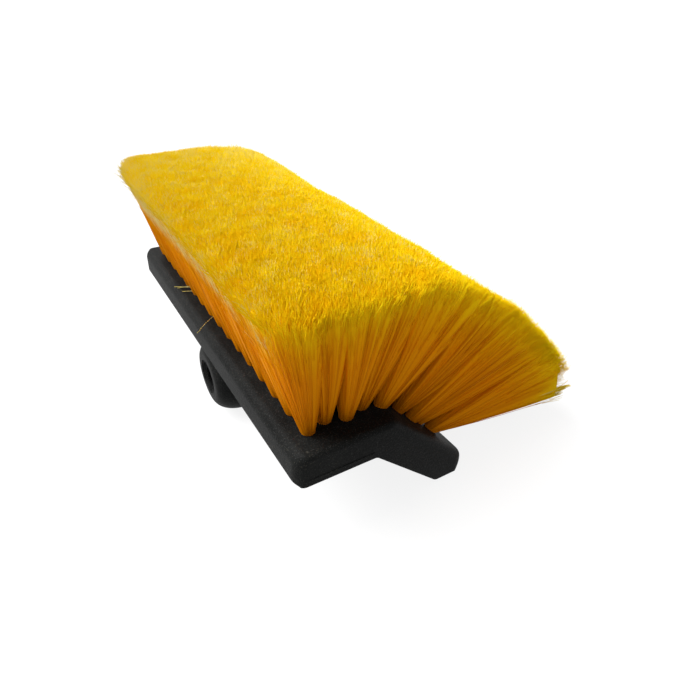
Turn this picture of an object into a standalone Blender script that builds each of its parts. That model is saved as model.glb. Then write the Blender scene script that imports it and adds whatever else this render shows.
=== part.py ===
# Vehicle wash broom head: a moulded block with a level and a sloped wing,
# a socket boss for the handle under the level wing, and nine rows of bristle tufts.
#
# The block is drawn with its level wing flat: X runs across the wings, Y along the
# block and Z up, with zero at the valley under the ridge. The finished head is then
# tipped until it lies on the boss and the foot of the sloped wing, bristles up.

import math

import bmesh
import bpy
from mathutils import Matrix, Vector

# Block
BLOCK_LENGTH = 0.254
WING_ANGLE = math.radians(43.0)
LEVEL_WING_RUN = 0.039
LEVEL_WING_THICKNESS = 0.016
SLOPED_WING_THICKNESS = 0.0188
FOOT_DEPTH = 0.034
FOOT_WIDTH = 0.0178
NOSE_TOP_RADIUS = 0.0055
NOSE_BOTTOM_RADIUS = 0.0045
VALLEY_RADIUS = 0.004
FOOT_HEEL_RADIUS = 0.004
FOOT_TOE_RADIUS = 0.0055
FOOT_BROW_RADIUS = 0.0055
RIDGE_RADIUS = 0.010
END_CORNER_RADIUS = 0.0065
END_EDGE_RADIUS = 0.0026

# Handle socket
SOCKET_DROP = 0.0223
SOCKET_INSET = 0.001
SOCKET_BORE_RADIUS = 0.0095
SOCKET_BORE_DEPTH = 0.034
SOCKET_LEAD_IN = 0.0012
SOCKET_RIM_RADIUS = 0.014
BOSS_RADIUS = 0.024
BOSS_NOSE_LENGTH = 0.0165
BOSS_TAPER = math.radians(20.0)
BOSS_TAIL_RADIUS = 0.004
NECK_SETBACK = 0.010
NECK_LENGTH = 0.044
NECK_FRONT_WIDTH = 0.034
NECK_BACK_WIDTH = 0.016

# Tuft field: four rows on the level wing, one on the ridge, four on the sloped wing
TUFTS_IN_ROW = 16
ROW_END_MARGIN = 0.016
ROW_STAGGER = 0.003
LEVEL_ROWS = 4
NOSE_ROW_MARGIN = 0.0094
SLOPED_ROWS = 4
RIDGE_ROW_GAP = 0.0156
FOOT_ROW_MARGIN = 0.0122
TUFT_ROOT_LENGTH = 0.006
STRANDS_IN_TUFT = 3
STRAND_ROOT_WIDTH = 0.0016
STRAND_ROOT_GAP = 0.0005
BACKING_WIDTH = 0.007
BACKING_DEPTH = 0.003
BACKING_END_MARGIN = 0.0018
SEAT_CLEARANCE = 0.0003

# Bristle fan
BRISTLE_TRIM = 0.065
FAN_NOSE_FLARE = 0.009
FAN_FOOT_FLARE = 0.0235
FAN_END_FLARE = 0.008
STRAND_TIP_GAP = 0.0016
STRAND_TIP_END_GAP = 0.0032
STRAND_TIP_STAGGER = 0.0036
ROW_EDGE_shares = (0.0, 0.075, 0.16, 0.25, 0.355, 0.495, 0.635, 0.755, 0.87, 1.0)

# Modelling
CUT_OVERRUN = 0.002
ARC_SEGMENTS = 5
END_RINGS = 5
BOSS_SIDES = 40
NOSE_SEGMENTS = 7
SMOOTH_ANGLE = math.radians(32.0)

BLACK_PLASTIC = (0.021, 0.022, 0.021, 1.0)
YELLOW_BRISTLE = (0.83, 0.50, 0.006, 1.0)


def clear_scene():
    for old in list(bpy.data.objects):
        bpy.data.objects.remove(old, do_unlink=True)


def plastic(name, colour, roughness):
    material = bpy.data.materials.new(name)
    material.use_nodes = True
    shader = material.node_tree.nodes["Principled BSDF"]
    shader.inputs["Base Color"].default_value = colour
    shader.inputs["Roughness"].default_value = roughness
    shader.inputs["Metallic"].default_value = 0.0
    material.diffuse_color = colour
    return material


def finish(bm, name, material):
    bmesh.ops.recalc_face_normals(bm, faces=bm.faces)
    mesh = bpy.data.meshes.new(name)
    bm.to_mesh(mesh)
    bm.free()
    mesh.shade_smooth()
    mesh.set_sharp_from_angle(angle=SMOOTH_ANGLE)
    ob = bpy.data.objects.new(name, mesh)
    bpy.context.collection.objects.link(ob)
    if material:
        mesh.materials.append(material)
    else:
        ob.hide_render = True
        ob.display_type = "WIRE"
    return ob


# Cross-section of the block in X and Z
def slope_direction():
    return Vector((math.cos(WING_ANGLE), -math.sin(WING_ANGLE)))


def slope_normal():
    return Vector((math.sin(WING_ANGLE), math.cos(WING_ANGLE)))


def ridge_point():
    # where the level face meets the sloped face, each a wing's thickness off the underside
    reach = SLOPED_WING_THICKNESS - LEVEL_WING_THICKNESS * math.cos(WING_ANGLE)
    return Vector((reach / math.sin(WING_ANGLE), LEVEL_WING_THICKNESS))


def foot_outer_x():
    return FOOT_DEPTH / math.tan(WING_ANGLE) + FOOT_WIDTH


def brow_point():
    ridge = ridge_point()
    fall = (foot_outer_x() - ridge.x) * math.tan(WING_ANGLE)
    return Vector((foot_outer_x(), ridge.y - fall))


def section_corners():
    # corner, fillet radius, and whether the corner belongs to the underside
    heel_x = FOOT_DEPTH / math.tan(WING_ANGLE)
    return [
        (Vector((-LEVEL_WING_RUN, 0.0)), NOSE_BOTTOM_RADIUS, False),
        (Vector((0.0, 0.0)), VALLEY_RADIUS, True),
        (Vector((heel_x, -FOOT_DEPTH)), FOOT_HEEL_RADIUS, True),
        (Vector((foot_outer_x(), -FOOT_DEPTH)), FOOT_TOE_RADIUS, False),
        (brow_point(), FOOT_BROW_RADIUS, False),
        (ridge_point(), RIDGE_RADIUS, False),
        (Vector((-LEVEL_WING_RUN, LEVEL_WING_THICKNESS)), NOSE_TOP_RADIUS, False),
    ]


def fillet(before, corner, after, radius):
    # points of the round that replaces a corner, with their outward normals
    to_before = (before - corner).normalized()
    to_after = (after - corner).normalized()
    half = to_before.angle(to_after) / 2.0
    centre = corner + (to_before + to_after).normalized() * (radius / math.sin(half))
    start = corner + to_before * (radius / math.tan(half)) - centre
    turn = math.pi - 2.0 * half
    if to_after.cross(to_before) < 0.0:
        turn = -turn
    points = []
    for step in range(ARC_SEGMENTS + 1):
        spoke = Matrix.Rotation(turn * step / ARC_SEGMENTS, 2) @ start
        outward = spoke.normalized() if turn > 0.0 else -spoke.normalized()
        points.append((centre + spoke, outward))
    return points


def section_outline():
    corners = section_corners()
    outline = []
    for index, (corner, radius, underside) in enumerate(corners):
        before = corners[index - 1][0]
        after = corners[(index + 1) % len(corners)][0]
        for point, outward in fillet(before, corner, after, radius):
            outline.append((point, outward, underside))
    return outline


# Block body
def round_inset(radius, from_end):
    # how far a rounded end has drawn in at this distance from it
    if from_end >= radius:
        return 0.0
    return radius - math.sqrt(radius * radius - (radius - from_end) ** 2)


def end_stations():
    # distances from the end: close together where the edge round is, wider behind it
    edge = [END_EDGE_RADIUS * (1.0 - math.cos(0.5 * math.pi * i / 3)) for i in range(4)]
    rest = END_CORNER_RADIUS - END_EDGE_RADIUS
    wide = [END_EDGE_RADIUS + rest * (i + 1) / END_RINGS for i in range(END_RINGS)]
    return edge + wide


def block_ring(bm, outline, y, from_end):
    corner = round_inset(END_CORNER_RADIUS, from_end)
    edge = round_inset(END_EDGE_RADIUS, from_end)
    ring = []
    for point, outward, underside in outline:
        across = edge if underside else corner
        x = point.x - outward.x * across
        z = point.y - outward.y * edge
        ring.append(bm.verts.new((x, y, z)))
    return ring


def bridge_rings(bm, rings):
    for ring, following in zip(rings, rings[1:]):
        count = len(ring)
        for i in range(count):
            j = (i + 1) % count
            bm.faces.new((ring[i], ring[j], following[j], following[i]))


def make_block(material):
    bm = bmesh.new()
    outline = section_outline()
    half = BLOCK_LENGTH / 2.0
    stations = [(-half + e, e) for e in end_stations()]
    stations += [(half - e, e) for e in reversed(end_stations())]
    rings = [block_ring(bm, outline, y, from_end) for y, from_end in stations]
    bridge_rings(bm, rings)
    bm.faces.new(rings[0])
    bm.faces.new(rings[-1])
    return finish(bm, "block", material)


# Handle socket: a boss turned about the socket axis, the neck that joins it to the
# wing above, and the bore
def socket_mouth():
    return Vector((SOCKET_INSET - LEVEL_WING_RUN, 0.0, -SOCKET_DROP))


def turned_solid(name, profile):
    # profile: distance along the socket axis from its mouth, and radius there
    bm = bmesh.new()
    rings = []
    for along, radius in profile:
        ring = []
        for side in range(BOSS_SIDES):
            angle = 2.0 * math.pi * side / BOSS_SIDES
            ring.append(bm.verts.new((along, radius * math.sin(angle), -radius * math.cos(angle))))
        rings.append(ring)
    bridge_rings(bm, rings)
    bm.faces.new(rings[0])
    bm.faces.new(rings[-1])
    ob = finish(bm, name, None)
    ob.location = socket_mouth()
    return ob


def boss_profile():
    swell = BOSS_RADIUS - SOCKET_RIM_RADIUS
    profile = []
    for step in range(NOSE_SEGMENTS + 1):
        angle = 0.5 * math.pi * step / NOSE_SEGMENTS
        along = BOSS_NOSE_LENGTH * (1.0 - math.cos(angle))
        profile.append((along, SOCKET_RIM_RADIUS + swell * math.sin(angle)))
    tail = (BOSS_RADIUS - BOSS_TAIL_RADIUS) / math.tan(BOSS_TAPER)
    profile.append((BOSS_NOSE_LENGTH + tail, BOSS_TAIL_RADIUS))
    return profile


def make_neck():
    # straight-sided, from the socket axis up into the level wing, narrowing to the tail
    bm = bmesh.new()
    plan = (
        (NECK_SETBACK, -NECK_FRONT_WIDTH / 2.0),
        (NECK_SETBACK + NECK_LENGTH, -NECK_BACK_WIDTH / 2.0),
        (NECK_SETBACK + NECK_LENGTH, NECK_BACK_WIDTH / 2.0),
        (NECK_SETBACK, NECK_FRONT_WIDTH / 2.0),
    )
    base = bm.faces.new([bm.verts.new((along, across, 0.0)) for along, across in plan])
    top = bmesh.ops.extrude_face_region(bm, geom=[base])["geom"]
    raised = [item for item in top if isinstance(item, bmesh.types.BMVert)]
    rise = SOCKET_DROP + CUT_OVERRUN
    bmesh.ops.translate(bm, vec=(0.0, 0.0, rise), verts=raised)
    ob = finish(bm, "neck_form", None)
    ob.location = socket_mouth()
    return ob


def bore_profile():
    mouth = SOCKET_BORE_RADIUS + SOCKET_LEAD_IN
    return [
        (-CUT_OVERRUN, mouth),
        (0.0, mouth),
        (SOCKET_LEAD_IN, SOCKET_BORE_RADIUS),
        (SOCKET_BORE_DEPTH, SOCKET_BORE_RADIUS),
        (SOCKET_BORE_DEPTH + SOCKET_LEAD_IN, SOCKET_BORE_RADIUS - SOCKET_LEAD_IN),
    ]


# Tuft rows
def round_fall(radius, off_centre):
    # how far a round surface falls away this far from its crest
    return radius - math.sqrt(radius * radius - off_centre * off_centre)


def ridge_seat():
    # the ridge row's strip lies across the rounded ridge, its edges level with the round
    half = WING_ANGLE / 2.0
    crest = RIDGE_RADIUS * (1.0 / math.cos(half) - 1.0)
    sunk = crest + round_fall(RIDGE_RADIUS, BACKING_WIDTH / 2.0)
    return ridge_point() - Vector((math.sin(half), math.cos(half))) * sunk


def sloped_face_length():
    return (brow_point() - ridge_point()).length


def row_places():
    # each row's name, its centre on its wing face, and the tilt of that face
    places = []
    level_length = LEVEL_WING_RUN + ridge_point().x
    spacing = (level_length - NOSE_ROW_MARGIN) / LEVEL_ROWS
    for row in range(LEVEL_ROWS):
        x = -LEVEL_WING_RUN + NOSE_ROW_MARGIN + spacing * row
        centre = Vector((x, LEVEL_WING_THICKNESS))
        places.append((f"level_tuft_row_{row + 1}", centre, 0.0))
    places.append(("ridge_tuft_row", ridge_seat(), WING_ANGLE / 2.0))
    spacing = sloped_face_length() - RIDGE_ROW_GAP - FOOT_ROW_MARGIN
    spacing /= SLOPED_ROWS - 1
    for row in range(SLOPED_ROWS):
        down = RIDGE_ROW_GAP + spacing * row
        centre = ridge_point() + slope_direction() * down
        places.append((f"sloped_tuft_row_{row + 1}", centre, WING_ANGLE))
    return places


def row_shift(row):
    return ROW_STAGGER * (0.5 if row % 2 else -0.5)


def tuft_pitch():
    return (BLOCK_LENGTH - 2.0 * ROW_END_MARGIN) / (TUFTS_IN_ROW - 1)


def tuft_offset(tuft, pitch):
    return pitch * (tuft - (TUFTS_IN_ROW - 1) / 2.0)


def fan_lengths():
    # the trimmed tips run level, round the ridge, then along the slope
    level = FAN_NOSE_FLARE + LEVEL_WING_RUN + ridge_point().x
    return level, BRISTLE_TRIM * WING_ANGLE, sloped_face_length() + FAN_FOOT_FLARE


def fan_point(distance):
    # a place on the tip surface, by its distance from the nose edge of the fan
    level, arc, _ = fan_lengths()
    ridge = ridge_point()
    if distance < level:
        return Vector((ridge.x - level + distance, ridge.y + BRISTLE_TRIM))
    if distance < level + arc:
        angle = (distance - level) / BRISTLE_TRIM
        return ridge + Vector((math.sin(angle), math.cos(angle))) * BRISTLE_TRIM
    down = distance - level - arc
    return ridge + slope_direction() * down + slope_normal() * BRISTLE_TRIM


def backing_length():
    field = tuft_pitch() * (TUFTS_IN_ROW - 1) + TUFT_ROOT_LENGTH
    return field + 2.0 * BACKING_END_MARGIN


def across_stations():
    # edges of the backing strip and of the strand roots across it
    group = STRANDS_IN_TUFT * STRAND_ROOT_WIDTH + (STRANDS_IN_TUFT - 1) * STRAND_ROOT_GAP
    stations = [-BACKING_WIDTH / 2.0]
    for strand in range(STRANDS_IN_TUFT):
        start = -group / 2.0 + strand * (STRAND_ROOT_WIDTH + STRAND_ROOT_GAP)
        stations += [start, start + STRAND_ROOT_WIDTH]
    stations.append(BACKING_WIDTH / 2.0)
    return stations


def along_stations():
    # ends of the backing strip and of the tuft roots along it
    stations = [-backing_length() / 2.0]
    for tuft in range(TUFTS_IN_ROW):
        centre = tuft_offset(tuft, tuft_pitch())
        stations += [centre - TUFT_ROOT_LENGTH / 2.0, centre + TUFT_ROOT_LENGTH / 2.0]
    stations.append(backing_length() / 2.0)
    return stations


def strand_tip(place, tilt, row, strand, tuft):
    # the four corners of a strand's tip in the row's own frame, in root order
    fan = sum(fan_lengths())
    start, stop = fan * ROW_EDGE_shares[row], fan * ROW_EDGE_shares[row + 1]
    cell = (stop - start) / STRANDS_IN_TUFT
    left = start + cell * strand + STRAND_TIP_GAP / 2.0
    right = left + cell - STRAND_TIP_GAP
    pitch = (BLOCK_LENGTH + 2.0 * FAN_END_FLARE) / TUFTS_IN_ROW
    middle = tuft_offset(tuft, pitch) + STRAND_TIP_STAGGER * (0.5 if strand % 2 else -0.5)
    reach = (pitch - STRAND_TIP_END_GAP) / 2.0
    into_row = Matrix.Rotation(tilt, 2)
    corners = []
    for distance, y in ((left, middle - reach), (right, middle - reach),
                        (right, middle + reach), (left, middle + reach)):
        flat = into_row @ (fan_point(distance) - place)
        corners.append((flat.x, y, flat.y))
    return corners


def add_strand(bm, root, tips):
    tip = [bm.verts.new(corner) for corner in tips]
    for i in range(4):
        j = (i + 1) % 4
        bm.faces.new((root[i], root[j], tip[j], tip[i]))
    bm.faces.new(tip)


def add_backing(bm, grid):
    # the strip's sides as fans of triangles down to its four lower corners
    xs, ys = len(grid), len(grid[0])
    top = [grid[0][0], grid[xs - 1][0], grid[xs - 1][ys - 1], grid[0][ys - 1]]
    low = [bm.verts.new((v.co.x, v.co.y, -BACKING_DEPTH)) for v in top]
    sides = [
        [grid[i][0] for i in range(xs)],
        [grid[xs - 1][i] for i in range(ys)],
        [grid[xs - 1 - i][ys - 1] for i in range(xs)],
        [grid[0][ys - 1 - i] for i in range(ys)],
    ]
    for side, edge in enumerate(sides):
        here, there = low[side], low[(side + 1) % 4]
        middle = len(edge) // 2
        for i in range(len(edge) - 1):
            bm.faces.new((here if i < middle else there, edge[i + 1], edge[i]))
        bm.faces.new((here, there, edge[middle]))
    bm.faces.new(low)


def make_tuft_row(row, name, place, tilt, material):
    bm = bmesh.new()
    grid = [[bm.verts.new((x, y, 0.0)) for y in along_stations()] for x in across_stations()]
    for i in range(len(grid) - 1):
        for j in range(len(grid[0]) - 1):
            root = (grid[i][j], grid[i + 1][j], grid[i + 1][j + 1], grid[i][j + 1])
            if i % 2 and j % 2:
                tips = strand_tip(place, tilt, row, i // 2, j // 2)
                add_strand(bm, root, tips)
            else:
                bm.faces.new(root)
    add_backing(bm, grid)
    ob = finish(bm, name, material)
    ob.location = (place.x, row_shift(row), place.y)
    ob.rotation_euler = (0.0, tilt, 0.0)
    return ob


def make_pocket(row, place, tilt):
    # the seat in the wing face that one backing strip drops into
    bm = bmesh.new()
    size = (
        BACKING_WIDTH + 2.0 * SEAT_CLEARANCE,
        backing_length() + 2.0 * SEAT_CLEARANCE,
        BACKING_DEPTH + SEAT_CLEARANCE + CUT_OVERRUN,
    )
    bmesh.ops.create_cube(bm, size=1.0)
    bmesh.ops.scale(bm, vec=size, verts=bm.verts)
    lift = CUT_OVERRUN - size[2] / 2.0
    bmesh.ops.translate(bm, vec=(0.0, 0.0, lift), verts=bm.verts)
    ob = finish(bm, f"pocket_{row + 1}", None)
    ob.location = (place.x, row_shift(row), place.y)
    ob.rotation_euler = (0.0, tilt, 0.0)
    return ob


def cut(target, tool, operation="DIFFERENCE"):
    modifier = target.modifiers.new(tool.name, "BOOLEAN")
    modifier.operation = operation
    modifier.solver = "EXACT"
    modifier.object = tool


# Resting place
def lying_angle():
    # the tilt of the line that touches the boss and the foot from below
    boss_x = SOCKET_INSET - LEVEL_WING_RUN
    boss = [Vector((boss_x + along, -SOCKET_DROP - radius)) for along, radius in boss_profile()]
    foot = [point for point, _, _ in section_outline() if point.x > ridge_point().x]
    slopes = []
    for crest in boss:
        slopes.append(min(math.atan2(toe.y - crest.y, toe.x - crest.x) for toe in foot))
    return max(slopes)


def world_bounds(objects):
    graph = bpy.context.evaluated_depsgraph_get()
    corners = []
    for ob in objects:
        solid = ob.evaluated_get(graph)
        corners += [solid.matrix_world @ v.co for v in solid.to_mesh().vertices]
        solid.to_mesh_clear()
    low = Vector([min(c[i] for c in corners) for i in range(3)])
    high = Vector([max(c[i] for c in corners) for i in range(3)])
    return low, high


def lay_down(objects):
    # the head lies on boss and foot, with the origin under the middle of its bounds
    base = bpy.data.objects.new("resting_place", None)
    bpy.context.collection.objects.link(base)
    for ob in objects:
        ob.parent = base
    base.rotation_euler = (0.0, lying_angle(), 0.0)
    bpy.context.view_layer.update()
    low, high = world_bounds([ob for ob in objects if ob.display_type != "WIRE"])
    middle = (low + high) / 2.0
    base.location = (-middle.x, -middle.y, -low.z)
    bpy.context.view_layer.update()
    return base


def main():
    clear_scene()
    black = plastic("black_plastic", BLACK_PLASTIC, 0.62)
    yellow = plastic("yellow_bristle", YELLOW_BRISTLE, 0.55)

    block = make_block(black)
    boss = turned_solid("boss_form", boss_profile())
    neck = make_neck()
    bore = turned_solid("bore_form", bore_profile())
    cut(block, boss, "UNION")
    cut(block, neck, "UNION")
    cut(block, bore)

    objects = [block, boss, neck, bore]
    for row, (name, place, tilt) in enumerate(row_places()):
        pocket = make_pocket(row, place, tilt)
        cut(block, pocket)
        objects += [pocket, make_tuft_row(row, name, place, tilt, yellow)]
    lay_down(objects)


main()
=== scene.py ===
import math

import bmesh
import bpy
import numpy as np
from mathutils import Matrix, Vector


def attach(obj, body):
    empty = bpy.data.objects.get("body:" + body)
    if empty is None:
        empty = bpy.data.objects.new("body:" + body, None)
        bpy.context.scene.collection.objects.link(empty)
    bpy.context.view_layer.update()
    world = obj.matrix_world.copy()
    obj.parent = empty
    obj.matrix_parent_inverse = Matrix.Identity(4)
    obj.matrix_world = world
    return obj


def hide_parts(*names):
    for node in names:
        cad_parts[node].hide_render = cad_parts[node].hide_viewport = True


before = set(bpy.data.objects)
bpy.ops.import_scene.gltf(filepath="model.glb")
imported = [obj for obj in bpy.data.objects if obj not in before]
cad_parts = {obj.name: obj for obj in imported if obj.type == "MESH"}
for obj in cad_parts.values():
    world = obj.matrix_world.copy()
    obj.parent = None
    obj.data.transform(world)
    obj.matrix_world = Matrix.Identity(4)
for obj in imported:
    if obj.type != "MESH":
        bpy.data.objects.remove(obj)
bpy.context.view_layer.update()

mm = 0.001

# Everything is drawn with the level wing flat, then laid down as the head lies

restingPlace = {
    "tilt": math.radians(9.907832),
    "offset": (-35.5138 * mm, 0.0, 41.9101 * mm),
}


def layDown():
    turn = Matrix.Rotation(restingPlace["tilt"], 4, "Y")
    return Matrix.Translation(restingPlace["offset"]) @ turn


def toWorld(points):
    matrix = np.array(layDown())
    return points @ matrix[:3, :3].T + matrix[:3, 3]


# Shader graph helpers

class Wire:
    # the value of a socket: sums and products of wires add the nodes that work them out
    def __init__(self, tree, socket):
        self.tree = tree
        self.socket = socket

    def maths(self, operation, other, swapped=False):
        node = self.tree.nodes.new("ShaderNodeMath")
        node.operation = operation
        pair = (other, self) if swapped else (self, other)
        for place, value in zip(node.inputs, pair):
            plug(self.tree, place, value)
        return Wire(self.tree, node.outputs[0])

    def __add__(self, other):
        return self.maths("ADD", other)

    def __radd__(self, other):
        return self.maths("ADD", other, True)

    def __sub__(self, other):
        return self.maths("SUBTRACT", other)

    def __rsub__(self, other):
        return self.maths("SUBTRACT", other, True)

    def __mul__(self, other):
        return self.maths("MULTIPLY", other)

    def __rmul__(self, other):
        return self.maths("MULTIPLY", other, True)


def plug(tree, place, value):
    if isinstance(value, Wire):
        tree.links.new(value.socket, place)
    else:
        place.default_value = value


class Graph:
    def __init__(self, tree):
        self.tree = tree

    def node(self, kind, settings=None, out=0, **sockets):
        made = self.tree.nodes.new("ShaderNode" + kind)
        for name, value in (settings or {}).items():
            if name == "stops":
                self.fillRamp(made.color_ramp, value)
            else:
                setattr(made, name, value)
        for name, value in sockets.items():
            # a socket is given by its name, or as i0, i6 and so on by its number
            numbered = name[0] == "i" and name[1:].isdigit()
            key = int(name[1:]) if numbered else name.replace("_", " ")
            plug(self.tree, made.inputs[key], value)
        return Wire(self.tree, made.outputs[out])

    def fillRamp(self, ramp, stops):
        while len(ramp.elements) < len(stops):
            ramp.elements.new(0.5)
        for element, (place, colour) in zip(ramp.elements, stops):
            element.position = place
            element.color = (*colour, 1.0)

    def ramp(self, value, low, high):
        return self.node("MapRange", {"interpolation_type": "SMOOTHSTEP"},
                         Value=value, From_Min=low, From_Max=high)

    def noise(self, place, size, detail):
        return self.node("TexNoise", Vector=place, Scale=1.0 / size, Detail=detail)

    def blend(self, factor, first, second):
        return self.node("Mix", {"data_type": "RGBA"}, out=2, i0=factor, i6=first, i7=second)


def newFinish(name):
    finish = bpy.data.materials.new(name)
    finish.use_nodes = True
    graph = Graph(finish.node_tree)
    shader = finish.node_tree.nodes["Principled BSDF"]
    return finish, graph, shader


# Finishes

def blackPlastic():
    # fine, cloud and speck are noises, each with its size and its detail
    look = {
        "dark": (0.0034, 0.0036, 0.0034, 1.0),
        "light": (0.0098, 0.0102, 0.0098, 1.0),
        # the light colour of painted glints: specks that stand for highlights on the pebbled grain
        "fleck": (0.050, 0.052, 0.050, 1.0),
        "dust": (0.07, 0.064, 0.046, 1.0),
        "pebbleSize": 1.1 * mm,
        "pebbleSoftness": 0.5,
        "fine": (0.45 * mm, 2.0),
        "cloud": (22.0 * mm, 3.0),
        "speck": (0.9 * mm, 1.0),
        "cloudShare": 0.6,
        "shadeRange": (0.34, 0.66),
        "glintRange": (0.58, 0.70),
        "glintAmount": 0.7,
        "speckRange": (0.64, 0.74),
        "dustRange": (0.45, 0.62),
        "dustAmount": 0.4,
        "pebbleHeight": 0.7,
        "fineHeight": 0.6,
        "grainHeight": 0.22 * mm,
        "grainStrength": 0.8,
        "roughness": 0.46,
        "roughnessSpread": 0.16,
        "shine": 0.045,
    }
    finish, graph, shader = newFinish("blackPebbledPlastic")
    place = graph.node("TexCoord", out=3)
    pebble = graph.node("TexVoronoi", {"feature": "SMOOTH_F1"}, Vector=place,
                        Scale=1.0 / look["pebbleSize"], Smoothness=look["pebbleSoftness"])
    fine = graph.noise(place, *look["fine"])
    cloud = graph.noise(place, *look["cloud"])
    speck = graph.noise(place, *look["speck"])
    shade = cloud * look["cloudShare"] + fine * (1.0 - look["cloudShare"])
    colour = graph.blend(graph.ramp(shade, *look["shadeRange"]), look["dark"], look["light"])
    # painted glints: light specks in the colour in place of highlights on the grain
    paintedGlints = graph.ramp(fine, *look["glintRange"]) * look["glintAmount"]
    colour = graph.blend(paintedGlints, colour, look["fleck"])
    dusty = graph.ramp(speck, *look["speckRange"]) * graph.ramp(cloud, *look["dustRange"])
    colour = graph.blend(dusty * look["dustAmount"], colour, look["dust"])
    height = (1.0 - pebble) * look["pebbleHeight"] + fine * look["fineHeight"]
    bump = graph.node("Bump", Strength=look["grainStrength"], Distance=look["grainHeight"], Height=height)
    plug(graph.tree, shader.inputs["Base Color"], colour)
    plug(graph.tree, shader.inputs["Roughness"], look["roughness"] + cloud * look["roughnessSpread"])
    plug(graph.tree, shader.inputs["Normal"], bump)
    plug(graph.tree, shader.inputs["Specular IOR Level"], look["shine"])
    return finish


def yellowBristle():
    # each bristle carries how far along it a point lies, and how pale the bristle is
    look = {
        "stops": (
            (0.0, (0.55, 0.17, 0.0004)),
            (0.12, (0.76, 0.25, 0.0004)),
            (0.54, (0.86, 0.30, 0.0004)),
            (0.75, (0.90, 0.41, 0.0006)),
            (0.88, (0.97, 0.58, 0.002)),
            (1.0, (1.0, 0.77, 0.006)),
        ),
        "toneShift": 0.14,
        "darkTone": (0.05, 0.40),
        "tipRun": (0.74, 0.92),
        # darker colours for low tones: darker strands at random, and painted shade between the bristles on
        # the cores
        "ochreToneAndShade": (0.98, 0.60, 0.001, 1.0),
        "ochreToneAndShadeAmount": 0.6,
        "deepToneAndShade": (0.60, 0.17, 0.0004, 1.0),
        "deepToneAndShadeAmount": 0.7,
        "pale": (0.93, 0.79, 0.32, 1.0),
        "paleAmount": 0.9,
        "paleTone": (0.66, 0.95),
        "paleRun": (0.60, 0.78),
        "paleFadeRun": (0.86, 0.96),
        "paleFade": 0.4,
        "roughness": 0.55,
        "tipRoughness": 0.2,
        "shine": 0.03,
    }
    finish, graph, shader = newFinish("yellowFlaggedBristle")
    along = graph.node("Attribute", {"attribute_name": "along"}, out=2)
    tone = graph.node("Attribute", {"attribute_name": "tone"}, out=2)
    shifted = along + (tone - 0.5) * look["toneShift"]
    colour = graph.node("ValToRGB", {"stops": look["stops"]}, Fac=shifted)
    # low tones darken the colour, ochre at the tips and deep orange below: partly darker strands at random,
    # partly painted shade between the bristles where the cores' low tones lie
    dark = 1.0 - graph.ramp(tone, *look["darkTone"])
    tips = graph.ramp(along, *look["tipRun"])
    colour = graph.blend(dark * tips * look["ochreToneAndShadeAmount"], colour, look["ochreToneAndShade"])
    colour = graph.blend(dark * (1.0 - tips) * look["deepToneAndShadeAmount"], colour, look["deepToneAndShade"])
    pale = graph.ramp(tone, *look["paleTone"]) * graph.ramp(along, *look["paleRun"])
    pale = pale * (1.0 - graph.ramp(along, *look["paleFadeRun"]) * look["paleFade"])
    colour = graph.blend(pale * look["paleAmount"], colour, look["pale"])
    plug(graph.tree, shader.inputs["Base Color"], colour)
    plug(graph.tree, shader.inputs["Roughness"], look["roughness"] + along * look["tipRoughness"])
    plug(graph.tree, shader.inputs["Specular IOR Level"], look["shine"])
    return finish


# Building blocks for objects and meshes

def addObject(name, data):
    made = bpy.data.objects.new(name, data)
    bpy.context.collection.objects.link(made)
    return made


def meshFromArrays(name, points, faces):
    # all faces have the same number of corners
    mesh = bpy.data.meshes.new(name)
    corners = faces.shape[1]
    mesh.vertices.add(len(points))
    mesh.vertices.foreach_set("co", points.astype(np.float32).ravel())
    mesh.loops.add(faces.size)
    mesh.loops.foreach_set("vertex_index", faces.astype(np.int32).ravel())
    mesh.polygons.add(len(faces))
    starts = np.arange(0, faces.size, corners, dtype=np.int32)
    mesh.polygons.foreach_set("loop_start", starts)
    mesh.update(calc_edges=True)
    mesh.validate()
    return mesh


def closedForm(name, rings):
    # a skin over rings of equal count, capped at both ends
    bm = bmesh.new()
    made = [[bm.verts.new(point) for point in ring] for ring in rings]
    for ring, following in zip(made, made[1:]):
        for i in range(len(ring)):
            j = (i + 1) % len(ring)
            bm.faces.new((ring[i], ring[j], following[j], following[i]))
    bm.faces.new(made[0])
    bm.faces.new(made[-1])
    bmesh.ops.recalc_face_normals(bm, faces=bm.faces)
    mesh = bpy.data.meshes.new(name)
    bm.to_mesh(mesh)
    bm.free()
    return addObject(name, mesh)


def joinForms(target, tool, operation):
    modifier = target.modifiers.new(operation, "BOOLEAN")
    modifier.operation = operation
    modifier.solver = "EXACT"
    modifier.object = tool
    bpy.context.view_layer.update()
    shaped = target.evaluated_get(bpy.context.evaluated_depsgraph_get())
    mesh = bpy.data.meshes.new_from_object(shaped)
    target.modifiers.clear()
    target.data = mesh
    bpy.data.objects.remove(tool)


def smoothSides(form, sharpAngle):
    form.data.shade_smooth()
    form.data.set_sharp_from_angle(angle=sharpAngle)


def quarterArc(steps):
    # sine and cosine at even steps round a quarter circle
    angles = [0.5 * math.pi * step / steps for step in range(steps + 1)]
    return [(math.sin(angle), math.cos(angle)) for angle in angles]


# The block's own shape, in the sizes of the real head

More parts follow.
